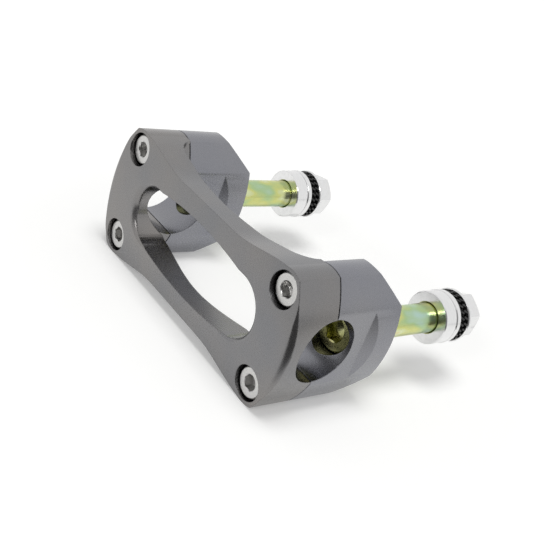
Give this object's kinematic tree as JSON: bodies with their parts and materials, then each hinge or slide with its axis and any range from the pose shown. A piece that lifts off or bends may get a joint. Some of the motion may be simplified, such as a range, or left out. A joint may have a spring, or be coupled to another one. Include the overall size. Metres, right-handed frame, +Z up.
{
  "type": "handlebar clamp",
  "caption": "Motorcycle handlebar clamp: a one-piece machined bridge bolted over tapered perches, with long bolts, collars, washers and flange nuts below.",
  "frame": {"origin": "midway between the two perch bolts, on the plane the perches stand on", "axes": "+X along the handlebar, +Y to the rear, +Z up along the bolts towards the top clamp"},
  "size_m": [0.1364, 0.0596, 0.1162],
  "materials": {
    "anodised_aluminium": "satin grey anodised",
    "stainless_screw": "satin",
    "zinc_plated": "yellow passivated",
    "turned_steel": "bright turned",
    "black_steel": "black oxide"
  },
  "bodies": {
    "root": {"top_clamp": "anodised_aluminium", "perch_right": "anodised_aluminium", "perch_left": "anodised_aluminium", "clamp_screw_right_rear": "stainless_screw", "clamp_screw_right_front": "stainless_screw", "clamp_screw_left_rear": "stainless_screw", "clamp_screw_left_front": "stainless_screw", "stud_bolt_right": "zinc_plated", "stud_bolt_left": "zinc_plated", "collar_right": "turned_steel", "collar_left": "turned_steel", "plate_washer_right": "turned_steel", "plate_washer_left": "turned_steel", "lock_washer_right_upper": "black_steel", "lock_washer_right_lower": "black_steel", "lock_washer_left_upper": "black_steel", "lock_washer_left_lower": "black_steel", "flange_nut_right": "turned_steel", "flange_nut_left": "turned_steel"}
  },
  "joints": []
}
